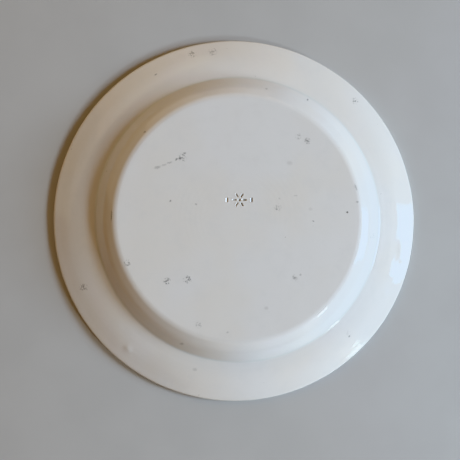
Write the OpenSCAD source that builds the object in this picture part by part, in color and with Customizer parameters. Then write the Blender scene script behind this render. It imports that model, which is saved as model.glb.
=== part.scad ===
// China dinner plate, lying face down. +Z comes out of its underside, and the
// origin is on the surface it lies on, under the centre of the plate.

/* [Plate] */
// Diameter over the edge of the rim
plate_d = 250; // [246:1:256]
// Height from the edge of the rim to the flat of the base
plate_h = 23; // [22:0.5:25]
// Thickness of the base, glaze included
base_t = 4.6; // [4:0.1:5.2]
// Thickness of the wall, glaze included
wall_t = 4.2; // [3.6:0.1:4.8]
// Thickness of the rim, glaze included
rim_t = 3.8; // [3.7:0.1:4.4]

/* [Wall] */
// Diameter at which the flat of the base turns down into the shoulder
shoulder_d = 166; // [162:0.5:168]
// Radius of the turn from the base into the shoulder
shoulder_r = 9; // [6:0.5:9]
// Place of the hip between the shoulder and the crease, as a share of the way
hip_share = 0.46; // [0.42:0.01:0.5]
// How far the hip stands out from the straight line between shoulder and crease
hip_bulge = 1.3; // [1.25:0.05:1.8]
// Radius of the hip, where the shoulder turns into the wall
hip_r = 22; // [10:1:22]
// Diameter of the crease where the wall meets the back of the rim
crease_d = 194; // [192:1:196]
// Radius in the crease
crease_r = 3.5; // [1:0.5:5]
// Radius around the floor of the well, on the face
well_r = 9; // [5:0.5:10]
// Radius where the wall turns into the rim, on the face
break_r = 6; // [3:0.5:6]

/* [Rim] */
// Slope of the inner half of the rim, in degrees
inner_slope = 11; // [9:0.5:13]
// Slope of the outer half of the rim, in degrees
outer_slope = 21; // [19:0.5:23]
// Radius of the bend between the two halves
bend_r = 80; // [40:5:80]
// Radius of the two rounds that make the edge of the rim
edge_r = 1.8; // [1:0.1:1.8]

/* [Glaze] */
// Thickness of the glaze
glaze_t = 0.25; // [0.15:0.05:0.4]

/* [Stamp] */
// Number of petals in the plain rosette that is pressed into the base
petals = 6; // [5:1:8]
// Length of a petal
petal_l = 2.8; // [2:0.1:3.4]
// Width of a petal
petal_w = 1.2; // [0.8:0.1:1.4]
// Distance from the rosette's centre to the start of a petal
petal_start = 2; // [1.9:0.1:2.6]
// Length of the bar on either side of the rosette
bar_l = 3.2; // [2:0.1:5]
// Distance from the rosette's centre to the middle of a bar
bar_x = 8.2; // [8:0.1:9]
// Depth of the stamp
stamp_depth = 0.5; // [0.3:0.1:0.8]
// Distance of the stamp from the middle of the base
stamp_y = 12; // [0:1:30]

/* [Hidden] */
$fn = 96;
arc_step = 6;                      // degrees between the points of a round stretch
dot_r = 0.9;                       // radius of the dot in the middle of the rosette
over = 1;                          // how far a cutter reaches out of the solid
body_colour = [0.86, 0.80, 0.70];
glaze_colour = [0.93, 0.92, 0.90];

plate_r = plate_d / 2;
crease_x = crease_d / 2;
bend_x = (plate_r + crease_x) / 2;

// The foot of the face's edge corner, set so that its round just touches z = 0.
edge_z = edge_r * (1 - 1 / tan(45 - outer_slope / 2));
outer_dir = downhill(outer_slope);
inner_dir = downhill(inner_slope);

// The underside's corners, from the middle of the base out to the edge of the rim.
back_edge = [plate_r, edge_z + rim_t / cos(outer_slope)];
back_bend = [bend_x, back_edge[1] + (plate_r - bend_x) * tan(outer_slope)];
back_crease = [crease_x, back_bend[1] + (bend_x - crease_x) * tan(inner_slope)];
back_shoulder = [shoulder_d / 2, plate_h];
shoulder_to_crease = back_crease - back_shoulder;
back_hip = back_shoulder + hip_share * shoulder_to_crease
    - hip_bulge * right_of(unit(shoulder_to_crease));
back_middle = [0, plate_h];

// The face's corners, each where two lines parallel to the underside's meet.
wall_dir = unit(back_crease - back_hip);
wall_on_face = back_crease + wall_t * right_of(wall_dir);
inner_on_face = back_crease + rim_t * right_of(inner_dir);
outer_on_face = back_edge + rim_t * right_of(outer_dir);
face_middle = [0, plate_h - base_t];
face_well = meet(face_middle, [1, 0], wall_on_face, wall_dir);
face_break = meet(wall_on_face, wall_dir, inner_on_face, inner_dir);
face_bend = meet(inner_on_face, inner_dir, outer_on_face, outer_dir);
face_edge = [plate_r, edge_z];

// Half of the plate's section as [corner, radius], clockwise from its axis.
section = [
    [back_middle, 0],
    [back_shoulder, shoulder_r],
    [back_hip, hip_r],
    [back_crease, crease_r],
    [back_bend, bend_r],
    [back_edge, edge_r],
    [face_edge, edge_r],
    [face_bend, bend_r],
    [face_break, break_r],
    [face_well, well_r],
    [face_middle, 0],
];

// The direction out from the axis and down at a slope in degrees
function downhill(slope) = [cos(slope), -sin(slope)];
function unit(v) = v / norm(v);
function right_of(v) = [v[1], -v[0]];
function cross_2d(u, v) = u[0] * v[1] - u[1] * v[0];
// Where the line through p along u meets the line through q along v
function meet(p, u, q, v) = p + u * cross_2d(q - p, v) / cross_2d(u, v);

// A round of radius r in place of the corner c between the points a and b
function rounded(a, c, b, r) =
    let (
        u = unit(a - c),
        v = unit(b - c),
        half = acos(u * v) / 2,
        centre = c + unit(u + v) * r / sin(half),
        first = c + u * r / tan(half) - centre,
        start = atan2(first[1], first[0]),
        sweep = sign(cross_2d(v, u)) * (180 - 2 * half),
        steps = max(2, ceil(abs(sweep) / arc_step))
    )
    [for (i = [0 : steps]) centre + r * [cos(start + sweep * i / steps),
                                         sin(start + sweep * i / steps)]];

// All the points of a section whose two ends are on the axis
function outline(corners) =
    let (last = len(corners) - 1)
    [for (i = [0 : last])
        each i == 0 || i == last
            ? [corners[i][0]]
            : rounded(corners[i - 1][0], corners[i][0], corners[i + 1][0], corners[i][1])];

// The same outline moved t into the solid, its ends staying on the axis
function inset(points, t) =
    let (last = len(points) - 1)
    [for (i = [0 : last])
        let (
            before = i == 0 ? [1, 0] : unit(points[i] - points[i - 1]),
            after = i == last ? [-1, 0] : unit(points[i + 1] - points[i]),
            inward = unit(right_of(before) + right_of(after))
        )
        points[i] + inward * t / (inward * right_of(after))];

// A plain rosette between two bars, grown by the thickness of the glaze for the clay under it
module stamp(grow) {
    depth = stamp_depth + grow;
    translate([0, stamp_y, plate_h - depth]) {
        cylinder(r = dot_r + grow, h = depth + over);
        for (i = [0 : petals - 1])
            rotate(i * 360 / petals)
                translate([petal_start + petal_l / 2, 0])
                    groove(petal_l, grow, depth);
        for (side = [-1, 1])
            translate([side * bar_x, 0])
                rotate(90)
                    groove(bar_l, grow, depth);
    }
}

// One round-ended groove along X, petal_w wide
module groove(l, grow, depth) {
    end_r = petal_w / 2 + grow;
    end_x = l / 2 - petal_w / 2;
    linear_extrude(depth + over) {
        square([2 * end_x, 2 * end_r], center = true);
        for (side = [-1, 1])
            translate([side * end_x, 0])
                circle(end_r);
    }
}

// The whole plate, with its surface moved t inwards everywhere
module plate_less(t) {
    difference() {
        rotate_extrude()
            polygon(inset(outline(section), t));
        stamp(t);
    }
}

module earthenware_body() {
    color(body_colour)
        plate_less(glaze_t);
}

module glaze_coat() {
    color(glaze_colour)
        difference() {
            plate_less(0);
            plate_less(glaze_t);
        }
}

earthenware_body();
glaze_coat();
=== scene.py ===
import math
import bpy
import numpy as np
from mathutils import Matrix, Vector, noise


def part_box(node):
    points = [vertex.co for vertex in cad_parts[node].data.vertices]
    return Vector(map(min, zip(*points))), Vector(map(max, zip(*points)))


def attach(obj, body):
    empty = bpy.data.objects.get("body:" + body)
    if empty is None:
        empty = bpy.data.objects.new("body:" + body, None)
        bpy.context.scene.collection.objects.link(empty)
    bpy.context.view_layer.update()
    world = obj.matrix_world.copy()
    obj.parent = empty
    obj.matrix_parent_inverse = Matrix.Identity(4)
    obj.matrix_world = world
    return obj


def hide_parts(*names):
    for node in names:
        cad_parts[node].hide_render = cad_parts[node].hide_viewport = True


MM = 0.001
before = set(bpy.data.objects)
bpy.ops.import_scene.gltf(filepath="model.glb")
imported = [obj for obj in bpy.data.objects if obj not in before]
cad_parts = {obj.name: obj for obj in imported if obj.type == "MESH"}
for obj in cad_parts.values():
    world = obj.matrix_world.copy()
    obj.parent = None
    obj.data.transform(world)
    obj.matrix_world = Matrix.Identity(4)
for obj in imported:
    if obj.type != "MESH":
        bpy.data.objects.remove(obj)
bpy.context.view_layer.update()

# ---------------------------------------------------------------- the plate's section
# The plate lies face down on z = 0 with its axis on Z, as in the frame. The section is
# worked out from corners, and each corner gets its round.

glaze_low, glaze_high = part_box("glaze_coat")
PLATE_R = (glaze_high.x - glaze_low.x) / 2
PLATE_H = glaze_high.z
BASE_T = 4.6 * MM
WALL_T = 4.2 * MM
RIM_T = 3.8 * MM
GLAZE_T = 0.25 * MM
SHOULDER_X = 83 * MM
SHOULDER_R = 9 * MM
HIP_SHARE = 0.46
HIP_BULGE = 1.3 * MM
HIP_R = 22 * MM
CREASE_X = 97 * MM
CREASE_R = 3.5 * MM
WELL_R = 9 * MM
BREAK_R = 6 * MM
INNER_SLOPE = math.radians(11)
OUTER_SLOPE = math.radians(21)
BEND_R = 80 * MM
EDGE_R = 1.8 * MM

STAMP_CENTRE = (0.0, 12 * MM)
STAMP_DEPTH = 0.5 * MM
PETALS = 6
PETAL_L = 2.8 * MM
PETAL_START = 2 * MM
GROOVE_W = 1.2 * MM
DOT_R = 0.9 * MM
BAR_L = 3.2 * MM
BAR_X = 8.2 * MM

# The unevenness of a hand-made plate: slow waves and small ripples in the glaze, fine turning
# rings, a raised lip round each pressed groove, a crease turned off centre, and a rim that is
# warped in two and in three waves and is out of round.
WAVE_SIZE, WAVE_H = 22 * MM, 0.08 * MM
RIPPLE_SIZE, RIPPLE_H = 7 * MM, 0.02 * MM
TURNING_PITCH, TURNING_H = 0.55 * MM, 0.01 * MM
TURNING_START, TURNING_FULL = 15 * MM, 30 * MM
LIP_AWAY, LIP_W, LIP_H = 0.45 * MM, 0.3 * MM, 0.06 * MM
CREASE_OFF, CREASE_HALF_W = 0.9 * MM, 6 * MM
WARP_START = 70 * MM
WARP_2, WARP_3 = 0.16 * MM, 0.08 * MM
OUT_OF_ROUND = 0.0011

# The glaze is greyed in full (pooled glaze and painted shade) in a hollow of about the
# first radius, and lightened in full (thinner glaze and a painted highlight) on a round of
# about the second.
HOLLOW_R, ROUND_R = 3 * MM, 2 * MM

# On the underside the mesh's rings are centred on the stamp up to the first radius, and on the
# axis from the second.
STAMP_RINGS, AXIS_RINGS = 12 * MM, 72 * MM

# Soft lumps under the glaze of the underside: place in mm from the axis, width and height in mm.
LUMPS = [
    ((-74, -88), 1.8, 0.45),
    ((90, -16), 3.0, 0.12),
    ((115, -17.5), 2.8, 0.40),
    ((115.5, -22), 3.2, 0.50),
    ((114.5, -27), 2.4, 0.35),
    ((111, -45), 1.6, 0.30),
    ((106, -39), 2.4, 0.20),
    ((103, -52), 2.0, 0.20),
    ((-48, -42), 1.2, 0.10),
    ((-34, -41), 1.2, 0.10),
]


def point(x, z):
    return np.array([x, z], float)


def unit(v):
    return v / np.linalg.norm(v)


def right_of(v):
    return np.array([v[1], -v[0]])


def cross_2d(u, v):
    return u[0] * v[1] - u[1] * v[0]


def meet(p, u, q, v):
    """Where the line through p along u meets the line through q along v."""
    return p + u * cross_2d(q - p, v) / cross_2d(u, v)


def section_corners():
    """[corner, round's radius, degrees per step], from the middle of the base round to the face."""
    edge_z = EDGE_R * (1 - 1 / math.tan(math.radians(45) - OUTER_SLOPE / 2))
    bend_x = (PLATE_R + CREASE_X) / 2
    outer_dir = point(math.cos(OUTER_SLOPE), -math.sin(OUTER_SLOPE))
    inner_dir = point(math.cos(INNER_SLOPE), -math.sin(INNER_SLOPE))
    back_edge = point(PLATE_R, edge_z + RIM_T / math.cos(OUTER_SLOPE))
    back_bend = point(bend_x, back_edge[1] + (PLATE_R - bend_x) * math.tan(OUTER_SLOPE))
    back_crease = point(CREASE_X, back_bend[1] + (bend_x - CREASE_X) * math.tan(INNER_SLOPE))
    back_shoulder = point(SHOULDER_X, PLATE_H)
    to_crease = back_crease - back_shoulder
    back_hip = back_shoulder + HIP_SHARE * to_crease - HIP_BULGE * right_of(unit(to_crease))
    wall_dir = unit(back_crease - back_hip)
    wall_face = back_crease + WALL_T * right_of(wall_dir)
    inner_face = back_crease + RIM_T * right_of(inner_dir)
    outer_face = back_edge + RIM_T * right_of(outer_dir)
    face_middle = point(0, PLATE_H - BASE_T)
    return [
        (point(0, PLATE_H), 0, 0),
        (back_shoulder, SHOULDER_R, 3),
        (back_hip, HIP_R, 2),
        (back_crease, CREASE_R, 3.5),
        (back_bend, BEND_R, 1),
        (back_edge, EDGE_R, 9),
        (point(PLATE_R, edge_z), EDGE_R, 9),
        (meet(inner_face, inner_dir, outer_face, outer_dir), BEND_R, 1.4),
        (meet(wall_face, wall_dir, inner_face, inner_dir), BREAK_R, 5),
        (meet(face_middle, point(1, 0), wall_face, wall_dir), WELL_R, 4),
        (face_middle, 0, 0),
    ]


def rounded(a, corner, b, radius, step):
    """The points of the round at a corner between a and b."""
    u, v = unit(a - corner), unit(b - corner)
    half = math.acos(float(np.dot(u, v))) / 2
    centre = corner + unit(u + v) * radius / math.sin(half)
    first = corner + u * radius / math.tan(half) - centre
    start = math.atan2(first[1], first[0])
    sweep = math.copysign(math.pi - 2 * half, cross_2d(v, u))
    count = max(2, math.ceil(math.degrees(abs(sweep)) / step))
    angles = start + sweep * np.arange(count + 1) / count
    return [centre + radius * point(math.cos(a), math.sin(a)) for a in angles]


def spaced(a, b, first, growth, largest):
    """Points strictly between a and b. The gap starts at first next to a, and grows to largest."""
    length = float(np.linalg.norm(b - a))
    stops, gap = [0.0], first
    while stops[-1] + gap < length:
        stops.append(stops[-1] + gap)
        gap = min(gap * growth, largest)
    scale = length / (stops[-1] + gap)
    return [a + (b - a) * s * scale / length for s in stops[1:]]


def section_path():
    """The whole section as an array of (radius, z), from the underside's middle to the face's."""
    corners = section_corners()
    runs = [[corners[0][0]]]
    for i in range(1, len(corners) - 1):
        here, radius, step = corners[i]
        runs.append(rounded(corners[i - 1][0], here, corners[i + 1][0], radius, step))
    runs.append([corners[-1][0]])
    path = list(runs[0])
    for k in range(1, len(runs)):
        a, b = path[-1], runs[k][0]
        if k == 1:
            path += spaced(a, b, 0.2 * MM, 1.022, 2.0 * MM)
        elif k == len(runs) - 1:
            path += spaced(b, a, 1.5 * MM, 1.03, 2.5 * MM)[::-1]
        else:
            path += spaced(a, b, 1.2 * MM, 1.0, 1.2 * MM)
        path += runs[k]
    return np.array(path)


# ---------------------------------------------------------------- relief on the surface
# Heights are measured outwards from the smooth section, in metres.

def smooth_step(low, high, value):
    t = np.clip((value - low) / (high - low), 0, 1)
    return t * t * (3 - 2 * t)


def capsule(x, y, ax, ay, bx, by):
    """Distance of each (x, y) from the line between a and b."""
    ux, uy = bx - ax, by - ay
    along = np.clip(((x - ax) * ux + (y - ay) * uy) / (ux * ux + uy * uy), 0, 1)
    return np.hypot(x - ax - along * ux, y - ay - along * uy)


def stamp_relief(x, y):
    """A plain rosette between two bars, pressed in and softened by the glaze."""
    x = x - STAMP_CENTRE[0]
    y = y - STAMP_CENTRE[1]
    away = np.hypot(x, y) - DOT_R
    half_w = GROOVE_W / 2
    for k in range(PETALS):
        c, s = math.cos(k * math.tau / PETALS), math.sin(k * math.tau / PETALS)
        near, far = PETAL_START + half_w, PETAL_START + PETAL_L - half_w
        away = np.minimum(away, capsule(x, y, near * c, near * s, far * c, far * s) - half_w)
    half_l = BAR_L / 2 - half_w
    for side in (-1, 1):
        bar = capsule(x, y, side * BAR_X, -half_l, side * BAR_X, half_l)
        away = np.minimum(away, bar - half_w)
    pressed = -STAMP_DEPTH * (1 - smooth_step(-0.35 * MM, 0.15 * MM, away))
    raised = LIP_H * np.exp(-((away - LIP_AWAY) / LIP_W) ** 2)
    return pressed + raised


def lump(x, y, place, width, height):
    away = np.hypot(x - place[0] * MM, y - place[1] * MM)
    return height * MM * np.exp(-(away / (width * MM)) ** 2)


def waves(x, y, z, size):
    """Smooth noise from -1 to 1, with bumps about size across."""
    flat = np.stack([x.ravel(), y.ravel(), z.ravel()], -1) / size
    return np.array([noise.noise(Vector(p)) for p in flat]).reshape(x.shape)


# ---------------------------------------------------------------- the closed surfaces

def build_skin(name, inset, segments):
    """The plate's closed surface moved inwards by inset, with its relief and its warp."""
    path = section_path()
    turn = np.arange(segments) * math.tau / segments
    tangent = np.gradient(path, axis=0)
    tangent[0], tangent[-1] = (1, 0), (-1, 0)
    tangent /= np.linalg.norm(tangent, axis=1)[:, None]
    normal = np.stack([-tangent[:, 1], tangent[:, 0]], -1)
    ring_r, ring_z = path[:, :1], path[:, 1:]
    is_back = np.arange(len(path)) < np.argmax(path[:, 0])

    drift = (1 - smooth_step(STAMP_RINGS, AXIS_RINGS, path[:, 0])) * is_back
    crease = np.exp(-((path[:, 0] - CREASE_X) / CREASE_HALF_W) ** 2) * is_back
    x = ring_r * np.cos(turn) + (CREASE_OFF * crease + STAMP_CENTRE[0] * drift)[:, None]
    y = ring_r * np.sin(turn) + STAMP_CENTRE[1] * drift[:, None]
    z = ring_z + 0 * x

    axis_r = np.hypot(x, y)
    turning = smooth_step(TURNING_START, TURNING_FULL, axis_r) * np.sin(axis_r / TURNING_PITCH)
    relief = WAVE_H * waves(x, y, z, WAVE_SIZE) + RIPPLE_H * waves(x, y, z, RIPPLE_SIZE)
    relief += TURNING_H * turning
    back = is_back[:, None] + 0 * x
    pressed = stamp_relief(x, y) * back
    relief += pressed
    for place, width, height in LUMPS:
        relief += lump(x, y, place, width, height) * back
    out_x, out_z = normal[:, :1], normal[:, 1:]
    x = x + (relief - inset) * out_x * np.cos(turn)
    y = y + (relief - inset) * out_x * np.sin(turn)
    z = z + (relief - inset) * out_z

    # The warp grows towards the edge of the rim, as in fired clay.
    share = smooth_step(WARP_START, PLATE_R, axis_r)
    warp = WARP_2 * (1 + np.cos(2 * turn + 0.7)) + WARP_3 * (1 + np.cos(3 * turn + 2.1))
    z = z + share * warp
    swell = 1 + share * OUT_OF_ROUND * (np.cos(2 * turn - 0.4) - 1)
    x, y = x * swell, y * swell

    verts = [(0, STAMP_CENTRE[1], z[0].mean())]
    verts += np.stack([x[1:-1], y[1:-1], z[1:-1]], -1).reshape(-1, 3).tolist()
    verts.append((0, 0, z[-1].mean()))
    mesh = bpy.data.meshes.new(name)
    mesh.from_pydata(verts, [], ring_faces(len(path) - 2, segments))
    mesh.shade_smooth()
    store_glaze_and_shade_masks(mesh, path, tangent, pressed)
    piece = bpy.data.objects.new(name, mesh)
    bpy.context.scene.collection.objects.link(piece)
    return piece


def store_glaze_and_shade_masks(mesh, path, tangent, pressed):
    """Store the masks for the hollows (creases and stamp), greyed with pooled glaze and painted
    shade, and for the rounds (edges, shoulder), lightened with thinner glaze and a painted
    highlight.
    """
    bend = np.zeros(len(path))
    step = np.linalg.norm(np.diff(path, axis=0), axis=1)
    turned = cross_2d(tangent[:-1].T, tangent[1:].T)
    bend[1:-1] = -(turned[:-1] + turned[1:]) / (step[:-1] + step[1:])
    bend = np.convolve(np.pad(bend, 4, "edge"), np.ones(9) / 9, "valid")
    bend = bend[:, None] + 0 * pressed
    set_attribute(mesh, "thick_and_shaded", np.clip(-bend * HOLLOW_R, 0, 1))
    set_attribute(mesh, "thin_and_lit", np.clip(bend * ROUND_R, 0, 1))
    set_attribute(mesh, "stamped", np.clip(-pressed / STAMP_DEPTH, 0, 1))


def ring_faces(rings, segments):
    """Faces between rings of vertices, closed by one vertex before them and one after them."""
    faces = [(0, 1 + k, 1 + (k + 1) % segments) for k in range(segments)]
    for i in range(rings - 1):
        a, b = 1 + i * segments, 1 + (i + 1) * segments
        for k in range(segments):
            n = (k + 1) % segments
            faces.append((a + k, b + k, b + n, a + n))
    last = 1 + (rings - 1) * segments
    end = last + segments
    return faces + [(last + k, end, last + (k + 1) % segments) for k in range(segments)]


def set_attribute(mesh, name, values):
    """Store a value for each vertex from values by ring and segment."""
    flat = np.concatenate([values[0, :1], values[1:-1].ravel(), values[-1, :1]])
    layer = mesh.attributes.new(name, "FLOAT", "POINT")
    layer.data.foreach_set("value", flat.astype(np.float32))


# ---------------------------------------------------------------- materials

class Nodes:
    """Short calls for building one material's node tree."""

    def __init__(self, name):
        self.material = bpy.data.materials.new(name)
        self.material.use_nodes = True
        self.tree = self.material.node_tree
        self.tree.nodes.clear()

    def add(self, kind, inputs=None, **settings):
        node = self.tree.nodes.new(kind)
        for key, value in settings.items():
            setattr(node, key, value)
        for key, value in (inputs or {}).items():
            self.set(node.inputs[key], value)
        return node

    def set(self, socket, value):
        if isinstance(value, bpy.types.NodeSocket):
            self.tree.links.new(value, socket)
        else:
            socket.default_value = value

    def math(self, operation, a, b=0.0, c=0.0):
        node = self.add("ShaderNodeMath", {0: a, 1: b, 2: c}, operation=operation)
        return node.outputs[0]

    def vector(self, operation, a, b):
        node = self.add("ShaderNodeVectorMath", {0: a, 1: b}, operation=operation)
        return node.outputs["Vector"]

    def length(self, a):
        node = self.add("ShaderNodeVectorMath", {0: a}, operation="LENGTH")
        return node.outputs["Value"]

    def fade(self, value, low, high, to_low=0.0, to_high=1.0):
        """value from low to high, eased and mapped to to_low to to_high."""
        inputs = {"Value": value, "From Min": low, "From Max": high,
                  "To Min": to_low, "To Max": to_high}
        node = self.add("ShaderNodeMapRange", inputs, interpolation_type="SMOOTHSTEP")
        return node.outputs[0]

    def noise(self, where, scale, detail=2.0, roughness=0.5):
        inputs = {"Vector": where, "Scale": scale, "Detail": detail, "Roughness": roughness}
        return self.add("ShaderNodeTexNoise", inputs).outputs["Fac"]

    def mix(self, share, a, b):
        node = self.add("ShaderNodeMix", {0: share, 6: a, 7: b}, data_type="RGBA")
        return node.outputs[2]

    def millimetres(self):
        place = self.add("ShaderNodeTexCoord").outputs["Object"]
        node = self.add("ShaderNodeVectorMath", {0: place, "Scale": 1000.0}, operation="SCALE")
        return node.outputs[0]

    def attribute(self, name):
        return self.add("ShaderNodeAttribute", attribute_name=name).outputs["Fac"]

    def finish(self, shader):
        out = self.add("ShaderNodeOutputMaterial")
        self.tree.links.new(shader.outputs[0], out.inputs["Surface"])
        return self.material


# Firing marks on the underside: place in mm from the axis, half length and half width in mm,
# the angle of the length from +X, and darkness.
MARKS = [
    ((48, 82), (0.8, 0.5), 70, 0.75), ((83, 83), (0.7, 0.5), 20, 0.7),
    ((-56, 99), (0.9, 0.4), 30, 0.5), ((46, 52), (0.9, 0.5), 80, 0.6),
    ((34, 37), (1.7, 1.2), 0, 0.14), ((-46, 11), (0.7, 0.6), 100, 0.55),
    ((-29, 9), (0.7, 0.6), 0, 0.35), ((27, 13), (0.6, 0.6), 0, 0.2),
    ((25, 6), (0.6, 0.5), 0, 0.55), ((38, 15), (1.1, 0.4), 10, 0.22),
    ((50, -2), (0.6, 0.5), 0, 0.6), ((48, 6), (1.2, 0.9), 0, 0.1),
    ((73, 4), (0.6, 0.6), 0, 0.9), ((79, 21), (2.2, 0.6), 110, 0.35),
    ((80, 11), (0.8, 0.6), 0, 0.4), ((37, -40), (0.7, 0.6), 30, 0.5),
    ((41, -38), (0.7, 0.6), 0, 0.3), ((18, -60), (1.3, 1.0), 0, 0.16),
    ((-27, -71), (0.8, 0.6), 0, 0.28), ((-8, -76), (0.9, 0.6), 0, 0.25),
    ((77.3, -80.5), (0.7, 0.6), 0, 0.7), ((-29, -102), (1.4, 1.0), 0, 0.18),
    ((-63, 57), (0.8, 0.6), 40, 0.4), ((-38, -84), (1.2, 0.8), 0, 0.25),
    ((19, 88), (0.8, 0.6), 0, 0.25), ((-31, 115), (1.1, 0.6), 15, 0.5),
    ((-17, 116), (1.2, 0.7), 0, 0.35), ((-104, -46), (0.9, 0.5), 110, 0.6),
    ((-84.6, 1), (3.2, 0.4), 88, 0.5), ((90.5, -13), (0.7, 0.5), 0, 0.3),
    ((-39.5, 39.5), (1.0, 0.5), 10, 0.85), ((-42, 38.7), (0.9, 0.5), 40, 0.7),
    ((-36.5, 43), (0.8, 0.5), 0, 0.6), ((-46.5, 36.5), (1.6, 0.6), 15, 0.3),
    ((-50, 35), (1.6, 0.6), 18, 0.22), ((-54.5, 33.3), (2.0, 0.9), 15, 0.3),
]

# Patches of small kiln marks: place in mm, half width in mm, darkness.
PATCHES = [
    ((-48, -42), 2.4, 0.8), ((-34.5, -41), 2.8, 0.75), ((-74, -30), 2.4, 0.6),
    ((40, 55), 2.2, 0.35), ((46, 52), 2.4, 0.5), ((-104, -47), 3.0, 0.5),
    ((26, 7), 2.6, 0.3), ((-17, 116), 3.2, 0.4), ((-31, 114), 3.0, 0.45),
    ((92, -12), 2.4, 0.35), ((83, 83), 2.6, 0.5), ((-38, 40), 3.0, 0.5),
    ((37, -40), 2.4, 0.35), ((77, -78), 2.4, 0.2), ((-27, -71), 2.2, 0.35),
]

# Colours, the refractive index of glaze and of clay, and how far in mm the edges of the marks
# wander.
CREAM_WHITE = (0.80, 0.775, 0.735, 1)
COOL_WHITE = (0.80, 0.79, 0.775, 1)
MOTTLED_GREY = (0.73, 0.725, 0.71, 1)
# Grey-green of pooled glaze and painted shade in hollows such as the crease.
SHADED_THICK_GLAZE = (0.66, 0.69, 0.68, 1)
# Light warm tone on rounds such as the lip: thinner glaze and a painted highlight.
LIT_THIN_GLAZE = (0.84, 0.81, 0.75, 1)
KILN_GREY = (0.10, 0.095, 0.09, 1)
# Dark brown of the painted shade in the stamp's grooves.
STAMP_SHADE_BROWN = (0.20, 0.17, 0.13, 1)
PIT_BROWN = (0.22, 0.19, 0.16, 1)
DEEP_CLAY = (0.62, 0.55, 0.44, 1)
PALE_CLAY = (0.76, 0.70, 0.60, 1)
WARM_CLAY = (0.68, 0.58, 0.46, 1)
FLOOR_GREY = (0.50, 0.49, 0.475, 1)
FLOOR_PALE = (0.52, 0.51, 0.495, 1)
GLAZE_IOR = 1.6
CLAY_IOR = 1.5
RAGGED_BY = 1.6


def glaze_colour(n, mm):
    """White glaze, uneven in tone. It is greyer in hollows, from pooled glaze and painted shade,
    and lighter and warmer on rounds, from thinner glaze and a painted highlight.
    """
    broad = n.noise(mm, 0.018, 2.0)
    mottle = n.noise(mm, 0.11, 4.0, 0.6)
    colour = n.mix(n.fade(broad, 0.35, 0.65), CREAM_WHITE, COOL_WHITE)
    colour = n.mix(n.fade(mottle, 0.45, 0.75, 0.0, 0.25), colour, MOTTLED_GREY)
    # Painted shade: hollows such as the crease are greyed, along with the tint of pooled glaze.
    colour = n.mix(n.fade(n.attribute("thick_and_shaded"), 0.1, 1.0, 0.0, 0.6), colour, SHADED_THICK_GLAZE)
    # Painted highlight: rounds such as the lip are lightened, along with the warmer tint of thinner
    # glaze.
    return n.mix(n.fade(n.attribute("thin_and_lit"), 0.3, 1.0, 0.0, 0.5), colour, LIT_THIN_GLAZE)


def ragged_place(n, mm):
    """Each point's place, shaken a little so that the marks have ragged edges."""
    ragged = n.add("ShaderNodeTexNoise", {"Vector": mm, "Scale": 1.3, "Detail": 3.0})
    shift = n.vector("SUBTRACT", ragged.outputs["Color"], (0.5, 0.5, 0.5))
    return n.vector("ADD", mm, n.vector("MULTIPLY", shift, (RAGGED_BY,) * 3))


def firing_marks(n, near):
    """How dark the marks are at each point. They are only on the underside."""
    flat = n.vector("MULTIPLY", near, (1, 1, 0))
    facing = n.add("ShaderNodeNewGeometry").outputs["Normal"]
    underside = n.fade(n.add("ShaderNodeSeparateXYZ", {0: facing}).outputs["Z"], 0.0, 0.3)
    marks = 0.0
    for (px, py), (length, width), angle, dark in MARKS:
        inputs = {"Vector": flat, "Location": (px, py, 0), "Scale": (length, width, 1),
                  "Rotation": (0, 0, math.radians(angle))}
        local = n.add("ShaderNodeMapping", inputs, vector_type="TEXTURE").outputs[0]
        marks = n.math("MAXIMUM", marks, n.fade(n.length(local), 0.4, 1.6, dark, 0.0))
    grains = n.add("ShaderNodeTexVoronoi", {"Vector": near, "Scale": 0.8})
    grain = n.fade(grains.outputs["Distance"], 0.25, 0.6, 1.0, 0.0)
    for (px, py), width, dark in PATCHES:
        away = n.length(n.vector("SUBTRACT", flat, (px, py, 0)))
        patch = n.math("MULTIPLY", grain, n.fade(away, width * 0.5, width * 1.2, dark, 0.0))
        marks = n.math("MAXIMUM", marks, patch)
    return n.math("MULTIPLY", marks, underside)


def glaze_material():
    n = Nodes("white_glaze")
    mm = n.millimetres()
    near = ragged_place(n, mm)
    marks = firing_marks(n, near)
    colour = n.mix(marks, glaze_colour(n, mm), KILN_GREY)

    # Painted shade in the stamp: its grooves are tinted dark brown, most of all on their right,
    # where the light from the right leaves their walls in shade.
    place = n.add("ShaderNodeSeparateXYZ", {0: mm}).outputs["X"]
    stamp_shade = n.fade(place, -6.0, 4.0, 0.25, 0.9)
    stamp_shade = n.math("MULTIPLY", stamp_shade, n.fade(n.attribute("stamped"), 0.25, 1.0))
    colour = n.mix(stamp_shade, colour, STAMP_SHADE_BROWN)

    # A few pinholes.
    pits = n.add("ShaderNodeTexVoronoi", {"Vector": near, "Scale": 0.16})
    rare = n.add("ShaderNodeSeparateXYZ", {0: pits.outputs["Color"]})
    chosen = n.math("GREATER_THAN", rare.outputs["X"], 0.8)
    size = n.fade(rare.outputs["Y"], 0.0, 1.0, 0.02, 0.05)
    pit = n.math("MULTIPLY", n.math("LESS_THAN", pits.outputs["Distance"], size), chosen)
    colour = n.mix(n.math("MULTIPLY", pit, 0.55), colour, PIT_BROWN)

    # The surface has a faint orange peel. It is glossy, and duller on the marks.
    peel = n.noise(mm, 0.35, 2.0, 0.5)
    height = n.math("MULTIPLY", peel, 0.02)
    height = n.math("SUBTRACT", height, n.math("MULTIPLY", pit, 0.04))
    bump = n.add("ShaderNodeBump", {"Height": height, "Distance": MM, "Strength": 1.0})
    rough = n.fade(n.noise(mm, 0.06, 3.0, 0.6), 0.3, 0.7, 0.05, 0.13)
    rough = n.math("ADD", rough, n.math("MULTIPLY", marks, 0.3))
    shader = n.add("ShaderNodeBsdfPrincipled", {
        "Base Color": colour, "Roughness": rough, "Normal": bump.outputs[0],
        "IOR": GLAZE_IOR,
    })
    return n.finish(shader)


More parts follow.
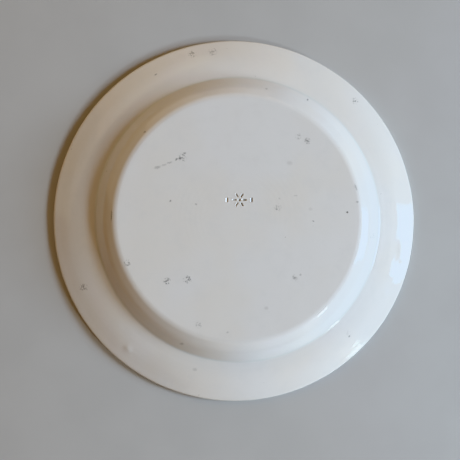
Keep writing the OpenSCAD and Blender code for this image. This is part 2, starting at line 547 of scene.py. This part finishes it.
def clay_material():
    """Matt biscuit-fired clay, hidden under the glaze."""
    n = Nodes("biscuit_clay")
    mm = n.millimetres()
    grain = n.noise(mm, 1.6, 5.0, 0.65)
    broad = n.noise(mm, 0.05, 2.0)
    colour = n.mix(n.fade(grain, 0.35, 0.65), DEEP_CLAY, PALE_CLAY)
    colour = n.mix(n.fade(broad, 0.4, 0.7, 0.0, 0.4), colour, WARM_CLAY)
    bump = n.add("ShaderNodeBump", {"Height": grain, "Distance": 0.1 * MM, "Strength": 0.8})
    shader = n.add("ShaderNodeBsdfPrincipled", {
        "Base Color": colour, "Roughness": n.fade(grain, 0.3, 0.7, 0.7, 0.9),
        "Normal": bump.outputs[0], "IOR": CLAY_IOR,
    })
    return n.finish(shader)


def floor_material():
    """Plain pale card with a faint change of tone."""
    n = Nodes("pale_floor")
    mm = n.millimetres()
    grain = n.noise(mm, 0.02, 3.0)
    colour = n.mix(n.fade(grain, 0.3, 0.7), FLOOR_GREY, FLOOR_PALE)
    shader = n.add("ShaderNodeBsdfPrincipled", {"Base Color": colour, "Roughness": 0.75})
    return n.finish(shader)


# ---------------------------------------------------------------- the studio

def build_floor():
    half = 1.6
    mesh = bpy.data.meshes.new("floor")
    corners = [(-half, -half, 0), (half, -half, 0), (half, half, 0), (-half, half, 0)]
    mesh.from_pydata(corners, [], [(0, 1, 2, 3)])
    floor = bpy.data.objects.new("floor", mesh)
    bpy.context.scene.collection.objects.link(floor)
    mesh.materials.append(floor_material())


def soft_light(name, azimuth, elevation, distance, size, power, colour):
    """A rectangular softbox that faces the plate. Azimuth 0 is +X, and 90 is +Y."""
    light = bpy.data.lights.new(name, "AREA")
    light.shape = "RECTANGLE"
    light.size, light.size_y = size
    light.energy = power
    light.color = colour
    lamp = bpy.data.objects.new(name, light)
    a, e = math.radians(azimuth), math.radians(elevation)
    toward = Vector((math.cos(a) * math.cos(e), math.sin(a) * math.cos(e), math.sin(e)))
    lamp.location = toward * distance
    lamp.rotation_euler = toward.to_track_quat("Z", "Y").to_euler()
    bpy.context.scene.collection.objects.link(lamp)


SURROUND_LEFT = (0.11, 0.045, 0.012, 1)
SURROUND_RIGHT = (0.22, 0.15, 0.08, 1)
LEFT_END_X, RIGHT_END_X = -0.7, 0.9
BACKDROP = (0.42, 0.41, 0.40, 1)


def build_world():
    """A warm surround, dim on the left, that lights the plate. The camera sees a pale backdrop."""
    world = bpy.data.worlds.new("studio")
    bpy.context.scene.world = world
    world.use_nodes = True
    tree = world.node_tree
    tree.nodes.clear()
    where = tree.nodes.new("ShaderNodeTexCoord")
    split = tree.nodes.new("ShaderNodeSeparateXYZ")
    side = tree.nodes.new("ShaderNodeMapRange")
    side.interpolation_type = "SMOOTHSTEP"
    side.inputs["From Min"].default_value = LEFT_END_X
    side.inputs["From Max"].default_value = RIGHT_END_X
    surround = tree.nodes.new("ShaderNodeMix")
    surround.data_type = "RGBA"
    surround.inputs[6].default_value = SURROUND_LEFT
    surround.inputs[7].default_value = SURROUND_RIGHT
    seen = tree.nodes.new("ShaderNodeLightPath")
    backdrop = tree.nodes.new("ShaderNodeMix")
    backdrop.data_type = "RGBA"
    backdrop.inputs[7].default_value = BACKDROP
    back = tree.nodes.new("ShaderNodeBackground")
    out = tree.nodes.new("ShaderNodeOutputWorld")
    for source, target in (
        (where.outputs["Generated"], split.inputs[0]),
        (split.outputs["X"], side.inputs["Value"]),
        (side.outputs[0], surround.inputs[0]),
        (seen.outputs["Is Camera Ray"], backdrop.inputs[0]),
        (surround.outputs[2], backdrop.inputs[6]),
        (backdrop.outputs[2], back.inputs["Color"]),
        (back.outputs[0], out.inputs["Surface"]),
    ):
        tree.links.new(source, target)


def build_camera():
    """Nearly straight above, about five degrees towards the plate's near left side."""
    place = Vector((-0.0485, -0.027, 0.55))
    aim = Vector((-0.006, -0.0035, 0))
    ahead = (aim - place).normalized()
    right = ahead.cross(Vector((0, 1, 0))).normalized()
    up = right.cross(ahead)
    data = bpy.data.cameras.new("camera")
    data.sensor_width = 36
    data.lens = 62.2
    data.shift_x = 0.005
    data.shift_y = -0.012
    camera = bpy.data.objects.new("camera", data)
    camera.matrix_world = Matrix.LocRotScale(place, Matrix((right, up, -ahead)).transposed(), None)
    bpy.context.scene.collection.objects.link(camera)
    bpy.context.scene.camera = camera


glaze = build_skin("glaze", 0, 360)
glaze.data.materials.append(glaze_material())
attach(glaze, "root")
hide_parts("glaze_coat")

clay = build_skin("clay", GLAZE_T, 180)
clay.data.materials.append(clay_material())
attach(clay, "root")
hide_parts("earthenware_body")

build_floor()
build_world()
soft_light("window", -4, 26, 2.0, (0.7, 0.92), 50, (0.57, 0.77, 1.0))
soft_light("second_window", -42, 28, 2.0, (0.17, 0.28), 11, (0.75, 0.92, 1.0))
soft_light("front", -70, 35, 2.4, (2.2, 1.8), 5.5, (1.0, 0.85, 0.68))
soft_light("back", 100, 35, 2.4, (2.6, 2.2), 8.7, (1.0, 0.74, 0.44))
soft_light("warm_fill", 135, 28, 2.4, (3.0, 2.4), 10.2, (1.0, 0.89, 0.62))
build_camera()
bpy.context.scene.view_settings.view_transform = "Khronos PBR Neutral"
